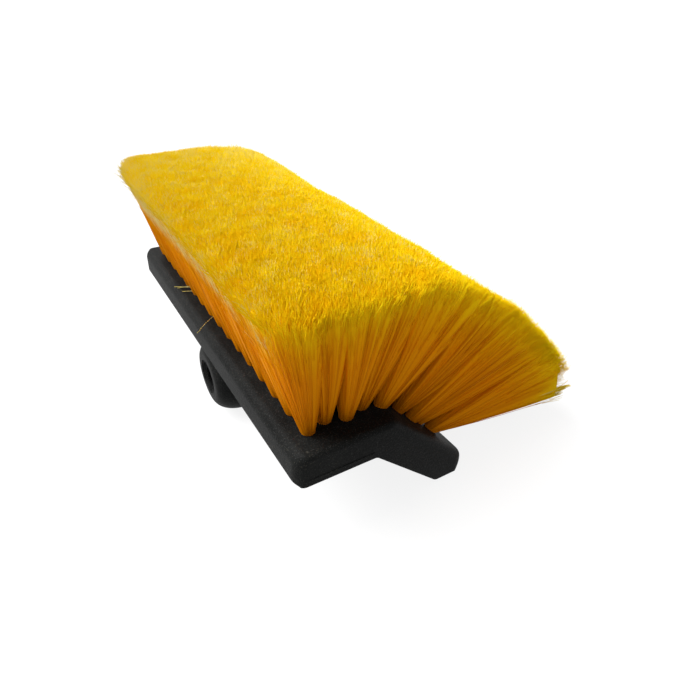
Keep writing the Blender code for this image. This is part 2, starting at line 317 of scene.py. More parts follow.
block = {
    "length": 254.0 * mm,
    "wingAngle": math.radians(43.0),
    "levelRun": 39.0 * mm,
    "levelThickness": 16.0 * mm,
    "slopedThickness": 18.8 * mm,
    "footDepth": 34.0 * mm,
    "footWidth": 17.8 * mm,
    "noseTop": 5.5 * mm,
    "noseBottom": 2.2 * mm,
    "valley": 4.0 * mm,
    "heel": 4.0 * mm,
    "toe": 5.5 * mm,
    "brow": 5.5 * mm,
    "ridge": 10.0 * mm,
    "endCorner": 6.5 * mm,
    "endEdge": 2.6 * mm,
    "endEdgeBelow": 0.9 * mm,
    "lip": 0.5 * mm,
    "arcSteps": 10,
    "endSteps": 12,
    "endRestSteps": 6,
    "sharpAngle": math.radians(28.0),
}


def slopeAlong():
    return Vector((math.cos(block["wingAngle"]), -math.sin(block["wingAngle"])))


def ridgePoint():
    reach = block["slopedThickness"] - block["levelThickness"] * math.cos(block["wingAngle"])
    return Vector((reach / math.sin(block["wingAngle"]), block["levelThickness"]))


def heelX():
    return block["footDepth"] / math.tan(block["wingAngle"])


def browPoint():
    ridge = ridgePoint()
    outer = heelX() + block["footWidth"]
    return Vector((outer, ridge.y - (outer - ridge.x) * math.tan(block["wingAngle"])))


def filletPoints(before, corner, after, radius):
    # points of the round that replaces a corner, with their outward directions
    toBefore = (before - corner).normalized()
    toAfter = (after - corner).normalized()
    half = toBefore.angle(toAfter) / 2.0
    centre = corner + (toBefore + toAfter).normalized() * (radius / math.sin(half))
    start = corner + toBefore * (radius / math.tan(half)) - centre
    turn = math.pi - 2.0 * half
    if toAfter.cross(toBefore) < 0.0:
        turn = -turn
    found = []
    for step in range(block["arcSteps"] + 1):
        spoke = Matrix.Rotation(turn * step / block["arcSteps"], 2) @ start
        found.append((centre + spoke, spoke.normalized() * math.copysign(1.0, turn)))
    return found


def blockOutline():
    # the section across the wings: each corner, its round, and whether it is on the underside
    lip = block["lip"]
    corners = [
        (Vector((-block["levelRun"] - lip, -lip)), block["noseBottom"], False),
        (Vector((-lip / 2.0, -lip)), block["valley"], True),
        (Vector((heelX() - lip / 2.0, -block["footDepth"])), block["heel"], True),
        (Vector((heelX() + block["footWidth"], -block["footDepth"])), block["toe"], False),
        (browPoint(), block["brow"], False),
        (ridgePoint(), block["ridge"], False),
        (Vector((-block["levelRun"], block["levelThickness"])), block["noseTop"], False),
    ]
    outline = []
    for index, (corner, radius, underside) in enumerate(corners):
        before = corners[index - 1][0]
        after = corners[(index + 1) % len(corners)][0]
        for point, outward in filletPoints(before, corner, after, radius):
            outline.append((point, outward, underside))
    return outline


def drawnIn(radius, fromEnd):
    # how far a rounded end has drawn in at this distance from it
    if fromEnd >= radius:
        return 0.0
    return radius - math.sqrt(radius * radius - (radius - fromEnd) ** 2)


def blockRing(outline, y, fromEnd):
    corner = drawnIn(block["endCorner"], fromEnd)
    above = drawnIn(block["endEdge"], fromEnd)
    below = drawnIn(block["endEdgeBelow"], fromEnd)
    nose = corner - block["levelRun"] - block["lip"]
    toe = heelX() + block["footWidth"] - corner
    ring = []
    for point, outward, underside in outline:
        edge = below if outward.y < 0.0 else above
        across = edge if underside else corner
        x = min(max(point.x - outward.x * across, nose), toe)
        ring.append((x, y, point.y - outward.y * edge))
    return ring


def endStations():
    # distances from the end: close together where the edge round is, wider behind it
    edge = [block["endEdge"] * (1.0 - cosine) for _, cosine in quarterArc(block["endSteps"])[:-1]]
    rest = block["endCorner"] - block["endEdge"]
    steps = block["endRestSteps"]
    return edge + [block["endEdge"] + rest * step / steps for step in range(steps + 1)]


def blockForm():
    outline = blockOutline()
    half = block["length"] / 2.0
    stations = [(-half + fromEnd, fromEnd) for fromEnd in endStations()]
    stations += [(half - fromEnd, fromEnd) for fromEnd in reversed(endStations())]
    return closedForm("blockForm", [blockRing(outline, y, fromEnd) for y, fromEnd in stations])


# Handle socket under the level wing

socket = {
    "drop": 21.6 * mm,
    "inset": 1.0 * mm,
    "boreRadius": 9.5 * mm,
    "boreDepth": 34.0 * mm,
    "leadIn": 1.2 * mm,
    "rimRadius": 14.0 * mm,
    "bossRadius": 24.0 * mm,
    "noseLength": 16.5 * mm,
    "taper": math.radians(20.0),
    "tailRadius": 4.0 * mm,
    "neckSetback": 10.0 * mm,
    "neckLength": 44.0 * mm,
    "neckFront": 34.0 * mm,
    "neckBack": 16.0 * mm,
    "neckFrontRound": 6.0 * mm,
    "neckBackRound": 3.0 * mm,
    "neckFillet": 3.5 * mm,
    "neckOverlap": 1.0 * mm,
    "boreOverrun": 2.0 * mm,
    "sides": 96,
    "noseSteps": 24,
    "leadInSteps": 6,
    "filletSteps": 8,
}


def mouth():
    return Vector((socket["inset"] - block["levelRun"], 0.0, -socket["drop"]))


def roundBore(along, radius, angle):
    return mouth() + Vector((along, radius * math.sin(angle), -radius * math.cos(angle)))


def turnedForm(name, profile):
    angles = [2.0 * math.pi * side / socket["sides"] for side in range(socket["sides"])]
    rings = [[roundBore(along, radius, angle) for angle in angles] for along, radius in profile]
    return closedForm(name, rings)


def bossForm():
    swell = socket["bossRadius"] - socket["rimRadius"]
    profile = []
    for sine, cosine in quarterArc(socket["noseSteps"]):
        profile.append((socket["noseLength"] * (1.0 - cosine), socket["rimRadius"] + swell * sine))
    tail = (socket["bossRadius"] - socket["tailRadius"]) / math.tan(socket["taper"])
    profile.append((socket["noseLength"] + tail, socket["tailRadius"]))
    return turnedForm("bossForm", profile)


def boreForm():
    leadIn = socket["leadIn"]
    wide = socket["boreRadius"] + leadIn
    profile = [(-socket["boreOverrun"], wide), (0.0, wide)]
    for sine, cosine in quarterArc(socket["leadInSteps"])[1:]:
        profile.append((leadIn * sine, wide - leadIn * (1.0 - cosine)))
    profile.append((socket["boreDepth"], socket["boreRadius"]))
    profile.append((socket["boreDepth"] + leadIn, socket["boreRadius"] - leadIn))
    return turnedForm("boreForm", profile)


def neckPlan(spread, height):
    front = mouth().x + socket["neckSetback"]
    back = front + socket["neckLength"]
    corners = [
        (Vector((front - spread, -socket["neckFront"] / 2.0 - spread)), socket["neckFrontRound"]),
        (Vector((back + spread, -socket["neckBack"] / 2.0 - spread)), socket["neckBackRound"]),
        (Vector((back + spread, socket["neckBack"] / 2.0 + spread)), socket["neckBackRound"]),
        (Vector((front - spread, socket["neckFront"] / 2.0 + spread)), socket["neckFrontRound"]),
    ]
    ring = []
    for index, (corner, radius) in enumerate(corners):
        before = corners[index - 1][0]
        after = corners[(index + 1) % len(corners)][0]
        ring += [Vector((p.x, p.y, height)) for p, _ in filletPoints(before, corner, after, radius)]
    return ring


def neckForm():
    # a plan outline carried up to the wing, flaring in a fillet where it meets the underside
    fillet = socket["neckFillet"]
    heights = [-socket["drop"], -fillet]
    heights += [-fillet * (1.0 - sine) for sine, _ in quarterArc(socket["filletSteps"])[1:]]
    heights.append(socket["neckOverlap"])
    rings = []
    for height in heights:
        rise = min(max(0.0, height + fillet), fillet)
        spread = fillet - math.sqrt(max(0.0, fillet ** 2 - rise ** 2))
        rings.append(neckPlan(spread, height))
    return closedForm("neckForm", rings)


# The thread: its section in shares of the pitch along the bore and of the height, inwards negative

thread = {
    "pitch": 5.08 * mm,
    "height": 1.1 * mm,
    "start": 1.6 * mm,
    "clearEnd": 3.0 * mm,
    "section": ((-0.34, 0.25), (-0.10, -1.0), (0.10, -1.0), (0.34, 0.25)),
    "stepsPerTurn": 72,
    "fadeSteps": 20,
    "leastHeight": 0.05,
    "sharpAngle": math.radians(40.0),
}


def threadForm():
    # one raised helix just inside the bore's wall
    turns = int((socket["boreDepth"] - thread["clearEnd"]) / thread["pitch"])
    steps = turns * thread["stepsPerTurn"]
    rings = []
    for step in range(steps + 1):
        turned = step / thread["stepsPerTurn"]
        fade = min(1.0, step / thread["fadeSteps"], (steps - step) / thread["fadeSteps"])
        height = thread["height"] * max(fade, thread["leastHeight"])
        ring = []
        for share, depth in thread["section"]:
            along = thread["start"] + thread["pitch"] * (turned + share)
            ring.append(roundBore(along, socket["boreRadius"] + depth * height, 2.0 * math.pi * turned))
        rings.append(ring)
    return closedForm("socketThread", rings)


# The fine raised line where the mould's halves met, round the nose and both ends

parting = {
    "lift": 3.4 * mm,
    "inset": 0.18 * mm,
    "valleyGap": 2.0 * mm,
    "radius": 0.28 * mm,
    "roundness": 2,
    "cornerSteps": 12,
}


def partingCurve():
    half = block["length"] / 2.0
    corner = block["endCorner"]
    nose = parting["inset"] - block["levelRun"]
    bend = []
    for sine, cosine in quarterArc(parting["cornerSteps"]):
        bend.append((nose + corner * (1.0 - cosine), half - corner * (1.0 - sine)))
    points = [(-parting["valleyGap"], -half)]
    points += [(x, -y) for x, y in reversed(bend)]
    points += bend
    points.append((-parting["valleyGap"], half))
    curve = bpy.data.curves.new("partingLine", "CURVE")
    curve.dimensions = "3D"
    curve.bevel_depth = parting["radius"]
    curve.bevel_resolution = parting["roundness"]
    curve.use_fill_caps = True
    spline = curve.splines.new("POLY")
    spline.points.add(len(points) - 1)
    for place, (x, y) in zip(spline.points, points):
        place.co = (x, y, parting["lift"], 1.0)
    return curve


def mountOnBlock(piece, plastic):
    piece.data.materials.clear()
    piece.data.materials.append(plastic)
    piece.data.transform(layDown())
    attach(piece, "root")


def buildBlock(plastic):
    body = blockForm()
    joinForms(body, bossForm(), "UNION")
    joinForms(body, neckForm(), "UNION")
    joinForms(body, boreForm(), "DIFFERENCE")
    body.name = "mouldedBlock"
    smoothSides(body, block["sharpAngle"])
    mountOnBlock(body, plastic)
    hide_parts("block")

    helix = threadForm()
    smoothSides(helix, thread["sharpAngle"])
    mountOnBlock(helix, plastic)

    mountOnBlock(addObject("partingLine", partingCurve()), plastic)


# Tufts: where they stand and how their bristles bend

tufts = {
    "inRow": 16,
    "endMargin": 16.0 * mm,
    "stagger": 3.0 * mm,
    "levelRows": 4,
    "noseMargin": 12.4 * mm,
    "slopedRows": 4,
    "ridgeGap": 15.6 * mm,
    "footMargin": 18.4 * mm,
    "rootRadius": 2.9 * mm,
    "sunk": 1.0 * mm,
    "lean": 0.22,
    "noseLean": -0.04,
    "footLean": 0.0,
    "spreadAtBend": 0.66,
    "tipStagger": 0.3,
    "seed": 41,
}

# The trimmed surface: lengths run across the wings from nose to foot, rises are in millimetres

fan = {
    "arcRadius": 66.0 * mm,
    "levelTrim": 65.5 * mm,
    "ridgeTrim": 67.8 * mm,
    "slopeTrim": 65.6 * mm,
    "noseFlare": 7.8 * mm,
    "footFlare": 33.5 * mm,
    "footGather": 0.055,
    "footGatherRun": 0.6,
    "nearFlare": 3.4 * mm,
    "farFlare": 2.6 * mm,
    "nearCorner": 10.5 * mm,
    "farCorner": 22.0 * mm,
    "footCorner": 3.0 * mm,
    "camber": 0.9 * mm,
    "footDrop": 13.2 * mm,
    "footDropRun": 15.0 * mm,
    "nearSag": 3.4 * mm,
    "nearSagPower": 8,
    "edgeRound": 2.0 * mm,
    "edgeRun": 13.0 * mm,
    "sideRise": ((-1.0, -1.7), (-0.93, -2.3), (-0.8, -1.9), (-0.65, 0.4), (-0.5, 0.3), (-0.2, 2.0),
                 (0.0, 2.4), (0.2, 1.7), (0.4, 3.2), (0.6, 4.7), (0.8, 4.9), (1.0, 5.9)),
    "sideRiseStart": 0.9,
    "sideRiseRun": 0.3,
    "sideFadeStart": 1.25,
    "sideFadeRun": 0.4,
    "sideFade": 0.85,
    "nearRise": ((0.0, 0.6), (0.1, 1.6), (0.17, 2.4), (0.22, 3.3), (0.3, 5.4), (0.42, 6.5),
                 (0.5, 5.4), (0.6, 6.4), (0.73, 5.9), (0.83, 4.9), (0.92, 4.5), (1.0, 3.5)),
    "nearRisePower": 5,
    "farSwell": ((0.0, 0.0), (0.5, 1.4), (0.75, 1.2), (1.0, -1.6)),
    "edgeShares": (0.0, 0.075, 0.16, 0.25, 0.355, 0.495, 0.635, 0.755, 0.87, 1.0),
    "rowOverlap": 1.5,
    "tuftSpread": 15.5 * mm,
}


def unit(values):
    return np.clip(values, 0.0, 1.0)


def unitRows(vectors):
    return vectors / np.linalg.norm(vectors, axis=1, keepdims=True)


def tableAt(values, table):
    return np.interp(values, *np.transpose(table))


def slopedLength():
    return (browPoint() - ridgePoint()).length


def ridgeSeat():
    half = block["wingAngle"] / 2.0
    crest = block["ridge"] * (1.0 / math.cos(half) - 1.0)
    return ridgePoint() - Vector((math.sin(half), math.cos(half))) * crest


def rowPlaces():
    # name, place and tilt of each row, from the nose to the foot
    places = []
    spacing = (block["levelRun"] + ridgePoint().x - tufts["noseMargin"]) / tufts["levelRows"]
    for row in range(tufts["levelRows"]):
        x = -block["levelRun"] + tufts["noseMargin"] + spacing * row
        places.append((f"level_tuft_row_{row + 1}", Vector((x, block["levelThickness"])), 0.0))
    places.append(("ridge_tuft_row", ridgeSeat(), block["wingAngle"] / 2.0))
    spacing = (slopedLength() - tufts["ridgeGap"] - tufts["footMargin"]) / (tufts["slopedRows"] - 1)
    for row in range(tufts["slopedRows"]):
        centre = ridgePoint() + slopeAlong() * (tufts["ridgeGap"] + spacing * row)
        places.append((f"sloped_tuft_row_{row + 1}", centre, block["wingAngle"]))
    return places


def lastRow():
    return tufts["levelRows"] + tufts["slopedRows"]


def levelPart():
    return fan["noseFlare"] + block["levelRun"] + ridgePoint().x


def arcPart():
    return fan["arcRadius"] * block["wingAngle"]


def crownPart():
    return levelPart() + arcPart() / 2.0


def fanWidth():
    return levelPart() + arcPart() + slopedLength() + fan["footFlare"]


def roundOff(radius, fromEdge):
    short = np.clip(radius - fromEdge, 0.0, radius)
    return radius - np.sqrt(radius ** 2 - short ** 2)


def nearFoot(distance):
    # rises from zero to one over the last stretch before the foot edge
    return unit(1.0 - (fanWidth() - distance) / fan["footDropRun"])


def trimAt(distance, y, share, reach):
    # how far the bristles stand out from the wings; share is the place along the head, from -1 to 1
    width = fanWidth()
    crown = crownPart()
    rising = unit(distance / crown) ** 2
    falling = unit((distance - crown) / (width - crown))
    trim = fan["levelTrim"] + (fan["ridgeTrim"] - fan["levelTrim"]) * rising
    trim = trim + (fan["slopeTrim"] - fan["ridgeTrim"]) * falling
    trim = trim - fan["footDrop"] * nearFoot(distance) ** 2
    trim = trim + fan["camber"] * (1.0 - share ** 2) * (1.0 - rising)
    side = unit((distance / crown - fan["sideRiseStart"]) / fan["sideRiseRun"])
    fade = unit((distance / crown - fan["sideFadeStart"]) / fan["sideFadeRun"])
    side = side * (1.0 - fan["sideFade"] * fade)
    trim = trim + tableAt(share, fan["sideRise"]) * mm * side
    trim = trim + tableAt(falling, fan["nearRise"]) * mm * unit(-share) ** fan["nearRisePower"]
    edge = np.minimum(np.minimum(distance, width - distance), reach - np.abs(y))
    return trim - fan["edgeRound"] * unit(1.0 - edge / fan["edgeRun"]) ** 2


def fanPoints(distance, y, height):
    # places on the trimmed surface for points across and along the head
    width = fanWidth()
    distance = np.clip(distance, 0.0, width)
    reach = np.where(y < 0.0, fan["nearFlare"], fan["farFlare"]) + block["length"] / 2.0
    share = np.clip(y / reach, -1.0, 1.0)
    corner = roundOff(np.where(y < 0.0, fan["nearCorner"], fan["farCorner"]), distance)
    corner = corner + roundOff(fan["footCorner"], width - distance)
    y = y * (reach - corner) / reach
    trim = trimAt(distance, y, share, reach) + height
    angle = np.clip((distance - levelPart()) / fan["arcRadius"], 0.0, block["wingAngle"])
    before = np.minimum(distance - levelPart(), 0.0)
    beyond = np.maximum(distance - levelPart() - arcPart(), 0.0)
    beyond = beyond * (1.0 - fan["footGather"] * unit((share + 1.0) / fan["footGatherRun"]))
    x = ridgePoint().x + np.sin(angle) * trim + before + beyond * slopeAlong().x
    x = x - tableAt(share, fan["farSwell"]) * mm * unit(1.0 - distance / levelPart())
    z = ridgePoint().y + np.cos(angle) * trim + beyond * slopeAlong().y
    z = z - fan["nearSag"] * nearFoot(distance) ** 2 * unit(-share) ** fan["nearSagPower"]
    return np.stack([x, y, z], 1)


# Soft random fields over the trimmed surface: the size of their waves, and their seed

fields = {
    "broad": (13.0 * mm, 7),
    "middling": (4.5 * mm, 8),
    "fine": (2.6 * mm, 9),
    "patches": (24.0 * mm, 10),
    "mottle": (3.6 * mm, 11),
    "flocks": (4.0 * mm, 12),
    "nearEdge": (9.0 * mm, 13),
}
waveCount = 12
waveLengths = (0.6, 1.9)


def field(name, points):
    # a smooth value round zero, from waves in random directions
    size, seed = fields[name]
    random = np.random.default_rng(seed)
    total = np.zeros(len(points))
    for _ in range(waveCount):
        direction = random.normal(size=points.shape[1])
        direction /= np.linalg.norm(direction)
        length = size * random.uniform(*waveLengths)
        total += np.sin(points @ direction * (2.0 * math.pi / length) + random.uniform(0, 2 * math.pi))
    return total / math.sqrt(waveCount)


# How uneven the trimmed surface is

surface = {
    "scatter": 0.9 * mm,
    "unevenness": 0.3 * mm,
    "broadHeight": 0.25 * mm,
    "middlingHeight": 0.25 * mm,
    "fineHeight": 0.2 * mm,
    "crestHeight": 0.45 * mm,
    "crestStart": 0.9,
    "crestRun": 20.0 * mm,
    "nearEdgeWave": 0.9 * mm,
    "nearEdgePower": 4,
}


def surfaceHeight(flat, distance):
    # the finest unevenness grows towards the crest
    crest = unit((distance - surface["crestStart"] * levelPart()) / surface["crestRun"])
    height = field("broad", flat) * surface["broadHeight"]
    height = height + field("middling", flat) * surface["middlingHeight"]
    return height + field("fine", flat) * (surface["fineHeight"] + surface["crestHeight"] * crest)


# How pale each bristle is: zero is deep orange, one is bleached

tint = {
    "base": 0.42,
    "patches": 0.12,
    "fartherRise": 0.14,
    "farEnd": 0.30,
    "farEndStart": 0.1,
    "farEndRun": 0.5,
    # paler rim by the nose: partly pale split ends, partly painted light where the sun catches the outermost
    # hairs
    "noseRimPaleAndLit": 0.30,
    "noseRimRun": 12.0 * mm,
    "crestRim": 0.10,
    "crestRimStart": 0.8,
    "rimMiddle": 0.5,
    "rimSlope": 1.2,
    "mottle": 0.15,
    "mottleStretch": (0.4, 1.0),
    "fleckStart": 0.7,
    "plainEndRun": 0.125,
    "noseSide": 0.34,
    "noseSideStart": 0.6,
    "noseSideSlope": 1.7,
    "sideLimit": 0.68,
}


def hairTone(flat, distance, y):
    far = y / block["length"]
    tone = tint["base"] + tint["patches"] * field("patches", flat) + tint["fartherRise"] * far
    tone = tone + tint["farEnd"] * unit((far - tint["farEndStart"]) / tint["farEndRun"])
    # the nose rim is paler, partly from its split ends and partly as painted light on the outermost hairs
    noseRimPaleAndLit = unit(1.0 - distance / tint["noseRimRun"])
    crestRim = unit((distance / crownPart() - tint["crestRimStart"]) / (1.0 - tint["crestRimStart"]))
    rims = tint["noseRimPaleAndLit"] * noseRimPaleAndLit + tint["crestRim"] * crestRim
    tone = tone + rims * unit(tint["rimSlope"] * far + tint["rimMiddle"])
    mottle = field("mottle", flat * np.array(tint["mottleStretch"]))
    fleck = unit(mottle - tint["fleckStart"]) * unit((far + 0.5) / tint["plainEndRun"])
    return tone + tint["mottle"] * mottle, fleck


def noseSidePaleAndLitTone(row, a):
    # the first row is paler where it faces the nose: partly pale split ends, partly painted light where the
    # sun catches the outermost hairs
    if row != 0:
        return 0.0
    return tint["noseSide"] * unit(-tint["noseSideSlope"] * a - tint["noseSideStart"])


# Single bristles: a and b give a bristle's place in its tuft, on a disc of radius one

def discToSquare(a, b):
    # spreads points of the disc over a square, keeping their order round the middle
    squareness = 0.85
    grow = np.hypot(a, b) / np.maximum(np.maximum(np.abs(a), np.abs(b)), 1e-9)
    grow = 1.0 - squareness + squareness * grow
    return a * grow, b * grow


def rowTile(row):
    # middle and half width of the stretch of trimmed surface that a row covers
    width = fanWidth()
    start, stop = width * fan["edgeShares"][row], width * fan["edgeShares"][row + 1]
    half = (stop - start) / 2.0 * fan["rowOverlap"]
    return min(max((start + stop) / 2.0, half), width - half), half


def rowShift(row):
    return tufts["stagger"] * (0.5 if row % 2 else -0.5)


def rootPlaces(row, tuft, a, b):
    _, place, tilt = rowPlaces()[row]
    pitch = (block["length"] - 2.0 * tufts["endMargin"]) / (tufts["inRow"] - 1)
    fromMiddle = tuft - (tufts["inRow"] - 1) / 2.0
    rootA, rootB = a * tufts["rootRadius"], b * tufts["rootRadius"]
    return np.stack([place.x + math.cos(tilt) * rootA - math.sin(tilt) * tufts["sunk"],
                     pitch * fromMiddle + rowShift(row) + rootB,
                     place.y - math.sin(tilt) * rootA - math.cos(tilt) * tufts["sunk"]], 1)


def tileRun(row, tuft, a, b):
    # where a bristle ends on the trimmed surface: its distance across, and its place along the head
    middle, half = rowTile(row)
    s, t = discToSquare(a, b)
    nearEnd = -block["length"] / 2.0 - fan["nearFlare"] + fan["tuftSpread"]
    farEnd = block["length"] / 2.0 + fan["farFlare"] - fan["tuftSpread"]
    y = nearEnd + (farEnd - nearEnd) * tuft / (tufts["inRow"] - 1) + rowShift(row) * tufts["tipStagger"]
    return middle + s * half, y + t * fan["tuftSpread"]


def hairPaths(row, tuft, a, b, loose, random):
    # the run of single bristles from their root, through a bend, to their trimmed end
    root = rootPlaces(row, tuft, a, b)
    distance, y = tileRun(row, tuft, a, b)
    flat = np.stack([distance, y], 1)
    distance = distance + loose * random.normal(0, surface["scatter"], len(a))
    y = y + loose * random.normal(0, surface["scatter"], len(a))
    nearness = unit(-y / (block["length"] / 2.0 + fan["farFlare"])) ** surface["nearEdgePower"]
    y = y + field("nearEdge", distance[:, None]) * surface["nearEdgeWave"] * nearness
    height = surfaceHeight(flat, distance) + loose * random.normal(0, surface["unevenness"], len(a))
    tip = fanPoints(distance, y, height)

    tilt = rowPlaces()[row][2]
    out = np.array([math.sin(tilt), 0.0, math.cos(tilt)])
    lean = {0: tufts["noseLean"], lastRow(): tufts["footLean"]}.get(row, tufts["lean"])
    straight = tip - root
    length = np.linalg.norm(straight, axis=1, keepdims=True)
    bend = root + (lean * out + (1.0 - lean) * straight / length) * length * 0.5
    bend[:, 1] = root[:, 1] + straight[:, 1] * tufts["spreadAtBend"]
    tone, fleck = hairTone(flat, distance, y)
    return (root, bend, tip), tone, fleck


def onPath(path, t):
    root, bend, tip = path
    return root * (1 - t) ** 2 + bend * 2 * t * (1 - t) + tip * t ** 2


def pathPart(path, start):
    # the run of each bristle from a share of its length to its end
    _, bend, tip = path
    return onPath(path, start), bend * (1 - start) + tip * start, tip


def tubes(path, radius, steps, startAlong, stopAlong, tone, taper):
    # three-sided tubes along the paths, with where each point lies along the bristle
    sides = 3
    slant = np.array([0.31, 0.87, -0.38])
    root, _, tip = path
    count = len(root)
    direction = unitRows(tip - root)
    side = unitRows(np.cross(direction, slant))
    other = np.cross(direction, side)
    points = np.empty((count, steps + 1, sides, 3))
    along = np.empty((count, steps + 1, sides))
    for step in range(steps + 1):
        centre = onPath(path, step / steps)
        size = radius * (1.0 - taper * step / steps)
        for corner in range(sides):
            angle = 2.0 * math.pi * corner / sides
            points[:, step, corner] = centre + size * (side * math.cos(angle) + other * math.sin(angle))
        along[:, step, :] = np.reshape(startAlong + (stopAlong - startAlong) * step / steps, (-1, 1))
    base = (np.arange(count) * (steps + 1) * sides)[:, None, None]
    ring = base + (np.arange(steps) * sides)[None, :, None]
    i = np.arange(sides)[None, None, :]
    j = (i + 1) % sides
    faces = np.stack([ring + i, ring + j, ring + sides + j, ring + sides + i], -1)
    return points.reshape(-1, 3), faces.reshape(-1, 4), along.ravel(), np.repeat(tone, (steps + 1) * sides)


def acrossPath(begin, end, random):
    # a random push across each bristle
    direction = unitRows(end - begin)
    loose = random.normal(0, 1.0, direction.shape)
    return loose - direction * (loose * direction).sum(1, keepdims=True)


def spiralDisc(count, tuftCount, random, inner=0.0):
    # even places on a disc, or on a ring where the inner radius isn't zero, for each tuft in turn
    goldenAngle = 2.399963
    order = np.tile(np.arange(count), tuftCount)
    turn = np.repeat(random.uniform(0, 2 * math.pi, tuftCount), count)
    radius = np.sqrt(inner ** 2 + (1.0 - inner ** 2) * (order + 0.5) / count)
    angle = order * goldenAngle + turn
    return radius * np.cos(angle), radius * np.sin(angle)


def outerTufts(row):
    # the tufts of a row that stand at the outside of the head
    if row in (0, lastRow()):
        return np.arange(tufts["inRow"])
    return np.array([0, tufts["inRow"] - 1])


# The solid middle of each tuft, which closes the view between its bristles

cores = {
    "innerSides": 28,
    "outerSides": 96,
    "rings": 12,
    "share": 0.940,
    "size": 0.955,
    "ripple": 0.018,
    # low tones for the core's sides: random streaks of darker strands, and painted shade deep between the
    # bristles
    "tone": (0.05, 0.60),
    "capSqueezes": (0.9, 0.45),
    "capRise": 0.008,
    "capTone": 0.14,
    "cornerRecess": 0.16,
    "cornerDrop": 0.05,
    "cornerGain": 1.6,
}


def headCorner(row, tuft, a, b):
    # one where a nose tuft reaches towards a corner of the head, falling to zero away from it
    if row != 0:
        return np.zeros(len(a))
    outward = {0: -b, tufts["inRow"] - 1: b}.get(tuft, np.zeros(len(a)))
    return 2.0 * unit(-a) * unit(outward)


def coreFaces(sides, rings):
    # the skin round the core, and strips of four-cornered faces over its flat end
    faces = []
    for ring in range(rings - 1):
        low, high = ring * sides, (ring + 1) * sides
        for i in range(sides):
            j = (i + 1) % sides
            faces.append((low + i, low + j, high + j, high + i))
    last = (rings - 1) * sides
    for i in range(1, sides // 2):
        faces.append((last + i - 1, last + i, last + sides - i - 1, last + sides - i))
    return np.array(faces)


def tuftCore(row, tuft, sides, random):
    rings = cores["rings"]
    angle = 2.0 * math.pi * np.arange(sides) / sides
    ripple = cores["size"] + random.normal(0, cores["ripple"], sides)
    # each side's tone: a random streak, kept low as painted shade between the bristles
    streakAndShade = random.uniform(*cores["tone"], sides)
    a, b = np.cos(angle) * ripple, np.sin(angle) * ripple
    corner = headCorner(row, tuft, a, b)
    recess = 1.0 - cores["cornerRecess"] * corner
    drop = 1.0 - cores["cornerDrop"] * np.minimum(corner * cores["cornerGain"], 1.0)
    squeezes = [1.0] * (rings + 1) + list(cores["capSqueezes"])
    points, along = [], []
    for ring, squeeze in enumerate(squeezes):
        share = cores["share"] * min(ring, rings) / rings * drop
        if ring > rings:
            share = share + cores["capRise"]
        drawn = recess * squeeze
        path, _, _ = hairPaths(row, np.full(sides, tuft), a * drawn, b * drawn, 0.0, random)
        points.append(onPath(path, share[:, None]))
        along.append(share)
    tone = np.tile(streakAndShade, len(squeezes))
    tone[-len(cores["capSqueezes"]) * sides:] = cores["capTone"]
    return np.concatenate(points), coreFaces(sides, len(squeezes)), np.concatenate(along), tone


def rowCores(row, random):
    outer = outerTufts(row)
    parts = []
    for tuft in range(tufts["inRow"]):
        sides = cores["outerSides"] if tuft in outer else cores["innerSides"]
        parts.append(tuftCore(row, tuft, sides, random))
    return parts


# Whole bristles: many round the outer faces of the outer tufts, few inside the head

filaments = {
    "inTuft": 40,
    "inOuterTuft": 190,
    "outerHollow": 0.75,
    "radius": 0.19 * mm,
    "taper": 0.6,
    "steps": 6,
    "toneSpread": 0.15,
    "toneLimit": 0.70,
}


def rowFilaments(row, random):
    outer = outerTufts(row)
    inner = np.setdiff1d(np.arange(tufts["inRow"]), outer)
    groups = [(inner, filaments["inTuft"], 0.0), (outer, filaments["inOuterTuft"], filaments["outerHollow"])]
    parts = []
    for chosen, count, hollow in groups:
        if len(chosen) == 0:
            continue
        a, b = spiralDisc(count, len(chosen), random, hollow)
        path, tone, _ = hairPaths(row, np.repeat(chosen, count), a, b, 1.0, random)
        tone = tone + random.normal(0, filaments["toneSpread"], len(tone))
        tone = np.minimum(tone, filaments["toneLimit"]) + noseSidePaleAndLitTone(row, a)
        parts.append(tubes(path, filaments["radius"], filaments["steps"], 0.0, 1.0, tone, filaments["taper"]))
    return parts


# The split, curled ends that make up the trimmed surface and lie over in flocks across the head

tipHairs = {
    "inTuft": 2600,
    "inEdgeTuft": 1700,
    "radius": 0.13 * mm,
    "taper": 0.35,
    "steps": 1,
    "loose": 1.3,
    "start": (0.84, 0.93),
    "sweep": 2.3 * mm,
    "flocked": 0.35,
    "unruly": 0.75,
    "curl": 0.8 * mm,
    "toneRise": 0.02,
    "toneSpread": 0.17,
    "fleckTone": 0.8,
    "endTonePull": 8.0,
}


